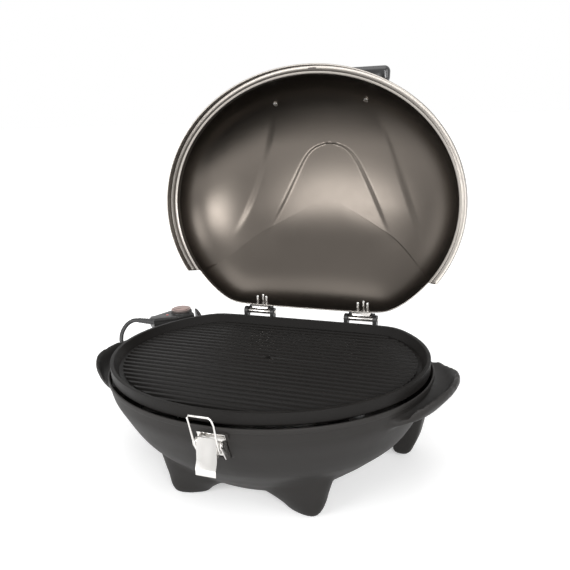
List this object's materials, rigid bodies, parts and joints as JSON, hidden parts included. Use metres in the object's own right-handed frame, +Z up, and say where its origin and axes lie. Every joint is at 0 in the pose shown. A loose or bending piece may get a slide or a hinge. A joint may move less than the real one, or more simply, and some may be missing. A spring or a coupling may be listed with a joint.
{
  "type": "electric indoor grill with lid",
  "caption": "Oval electric indoor grill: ribbed non-stick plate in a footed plastic housing, domed hinged lid, wire bail latch and a plug-in thermostat with its lead.",
  "frame": {"origin": "on the standing surface, under the middle of the grill's width and of its depth with the lid open, without the lead", "axes": "+Z up, +X to the right as the user faces the latch, -Y towards the user; the lid hinges at +Y"},
  "size_m": [0.5765, 0.5267, 0.5618],
  "materials": {
    "housing_plastic": "dark charcoal moulded plastic, satin with a fine grain",
    "hinge_plastic": "black moulded heat-resistant plastic, satin",
    "handle_plastic": "black phenolic, semi-gloss",
    "lid_steel": "formed steel sheet, satin inside and out, with heat tint",
    "hinge_steel": "bright zinc-plated steel",
    "latch_chrome": "bright chrome on steel",
    "fastener_steel": "plain steel fasteners",
    "nonstick_plate": "black non-stick coating on cast aluminium, low sheen",
    "element_sheath": "dull steel sheath",
    "reflector_sheet": "pressed aluminium sheet",
    "tray_aluminium": "pressed aluminium tray, satin",
    "pad_rubber": "black silicone",
    "ceramic": "glazed ceramic",
    "contact_brass": "plain brass",
    "probe_steel": "plain steel",
    "control_plastic": "black moulded plastic, satin",
    "dial_plastic": "dusty pink-grey moulded plastic",
    "switch_plastic": "cream phenolic",
    "lens_red": "red translucent plastic",
    "lead_rubber": "black flexible jacket",
    "tie_plastic": "black nylon",
    "plug_pin_metal": "nickelled brass"
  },
  "bodies": {
    "base": {"base_housing": "housing_plastic", "plate_supports": "housing_plastic", "reflector_posts": "housing_plastic", "plate_pads": "pad_rubber", "heat_reflector": "reflector_sheet", "reflector_screws": "fastener_steel", "hinge_bracket_left": "hinge_plastic", "hinge_bracket_right": "hinge_plastic", "hinge_pins": "hinge_steel", "bracket_screws": "fastener_steel", "latch_bracket": "latch_chrome", "latch_rivets": "latch_chrome", "latch_pin": "latch_chrome", "socket_guard": "hinge_plastic", "guard_screws": "fastener_steel"},
    "lid": {"lid_shell": "lid_steel", "lid_handle": "handle_plastic", "lid_handle_screws": "fastener_steel", "hinge_leaf_left": "hinge_steel", "hinge_leaf_right": "hinge_steel", "leaf_screws": "fastener_steel"},
    "plate": {"grill_plate": "nonstick_plate", "heating_element": "element_sheath", "terminal_insulator": "ceramic", "terminal_pins": "contact_brass"},
    "thermostat": {"thermostat_lower": "control_plastic", "thermostat_upper": "control_plastic", "probe_rod": "probe_steel", "contact_sleeves": "contact_brass", "switch_block": "switch_plastic", "indicator_lens": "lens_red", "strain_relief": "lead_rubber", "cord": "lead_rubber", "cord_coil": "lead_rubber", "cord_tie": "tie_plastic", "plug_body": "lead_rubber", "plug_pins": "plug_pin_metal"},
    "dial": {"dial": "dial_plastic", "dial_shaft": "probe_steel"},
    "lever": {"latch_lever": "latch_chrome"},
    "bail": {"latch_bail": "latch_chrome"},
    "tray": {"drip_tray": "tray_aluminium"}
  },
  "joints": [
    {"name": "lid_hinge", "type": "hinge", "parent": "base", "child": "lid", "pos_m": [0, 0.13846, 0.182], "axis": [-1, 0, 0], "range_deg": [-98.5, 0]},
    {"name": "plate_lift", "type": "slide", "parent": "base", "child": "plate", "axis": [0, 0, 1], "range_m": [0, 0.055]},
    {"name": "thermostat_plug", "type": "slide", "parent": "plate", "child": "thermostat", "axis": [-0.7771, 0.6293, 0], "range_m": [0, 0.06]},
    {"name": "dial_turn", "type": "hinge", "parent": "thermostat", "child": "dial", "pos_m": [-0.21967, 0.10433, 0.184], "axis": [0, 0, 1], "range_deg": [0, 270]},
    {"name": "lever_swing", "type": "hinge", "parent": "base", "child": "lever", "pos_m": [0.012, -0.23954, 0.148], "axis": [-1, 0, 0], "range_deg": [0, 110]},
    {"name": "bail_swing", "type": "hinge", "parent": "lever", "child": "bail", "pos_m": [0.012, -0.24104, 0.137], "axis": [-1, 0, 0], "range_deg": [-110, 0]},
    {"name": "tray_lift", "type": "slide", "parent": "base", "child": "tray", "axis": [0, 0, 1], "range_m": [0, 0.015]}
  ],
  "couplings": [
    {"joint": "bail_swing", "follows": "lever_swing", "ratio": -1}
  ]
}
